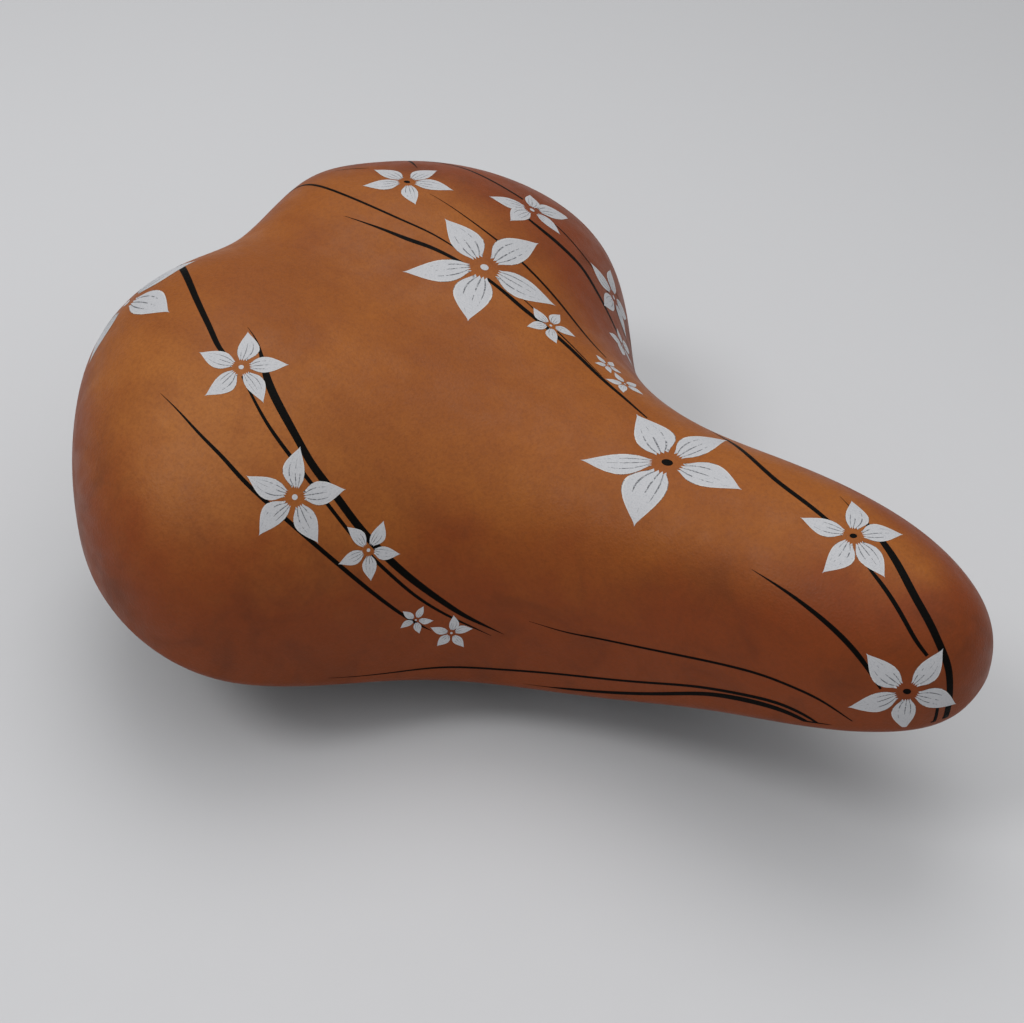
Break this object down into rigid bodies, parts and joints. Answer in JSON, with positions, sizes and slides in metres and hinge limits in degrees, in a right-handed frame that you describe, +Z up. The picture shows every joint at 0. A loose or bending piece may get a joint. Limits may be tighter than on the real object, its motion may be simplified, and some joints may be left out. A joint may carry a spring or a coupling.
{
  "type": "bicycle saddle",
  "caption": "Wide sprung city bicycle saddle: moulded brown cover over a foam pad and plastic base, wire rails, rear coil springs and a clamp for a seat post.",
  "frame": {"origin": "middle of the saddle's length and width, on the surface that it stands on", "axes": "+X to the nose, +Y to the rider's left, +Z up"},
  "size_m": [0.268, 0.214, 0.1054],
  "materials": {
    "cover": "satin",
    "foam": "matte",
    "base": "satin",
    "rails": "polished",
    "springs": "polished",
    "black_steel": "satin",
    "zinc": "satin"
  },
  "bodies": {
    "frame": {"rail_frame": "rails", "rear_yoke": "black_steel", "spring_left": "springs", "spring_cup_lower_left": "black_steel", "spring_bolt_lower_left": "zinc", "spring_washer_left": "zinc", "spring_nut_left": "zinc", "spring_right": "springs", "spring_cup_lower_right": "black_steel", "spring_bolt_lower_right": "zinc", "spring_washer_right": "zinc", "spring_nut_right": "zinc"},
    "seat": {"cover": "cover", "foam_pad": "foam", "base_shell": "base", "nose_block": "base", "nose_keeper": "zinc", "nose_screw_rear": "zinc", "nose_screw_front": "zinc", "spring_cup_upper_left": "black_steel", "spring_bolt_upper_left": "zinc", "spring_cup_upper_right": "black_steel", "spring_bolt_upper_right": "zinc"},
    "clamp": {"clamp_jaw_inner_left": "black_steel", "clamp_jaw_outer_left": "black_steel", "clamp_washer_left": "zinc", "clamp_jaw_inner_right": "black_steel", "clamp_jaw_outer_right": "black_steel", "clamp_washer_right": "zinc", "clamp_bolt": "zinc", "clamp_nut": "zinc"},
    "sleeve": {"post_sleeve": "black_steel"}
  },
  "joints": [
    {"name": "suspension", "type": "hinge", "parent": "frame", "child": "seat", "pos_m": [0.098, 0, 0.0515], "axis": [0, -1, 0], "range_deg": [0, 4], "stiffness_Nm_per_rad": 1800, "springref_deg": -0.11, "deforming": ["spring_left", "spring_right"]},
    {"name": "clamp_slide", "type": "slide", "parent": "frame", "child": "clamp", "axis": [1, 0, 0], "range_m": [-0.015, 0.015]},
    {"name": "clamp_tilt", "type": "hinge", "parent": "clamp", "child": "sleeve", "pos_m": [-0.021, 0, 0.02], "axis": [0, -1, 0], "range_deg": [0, 105]}
  ]
}
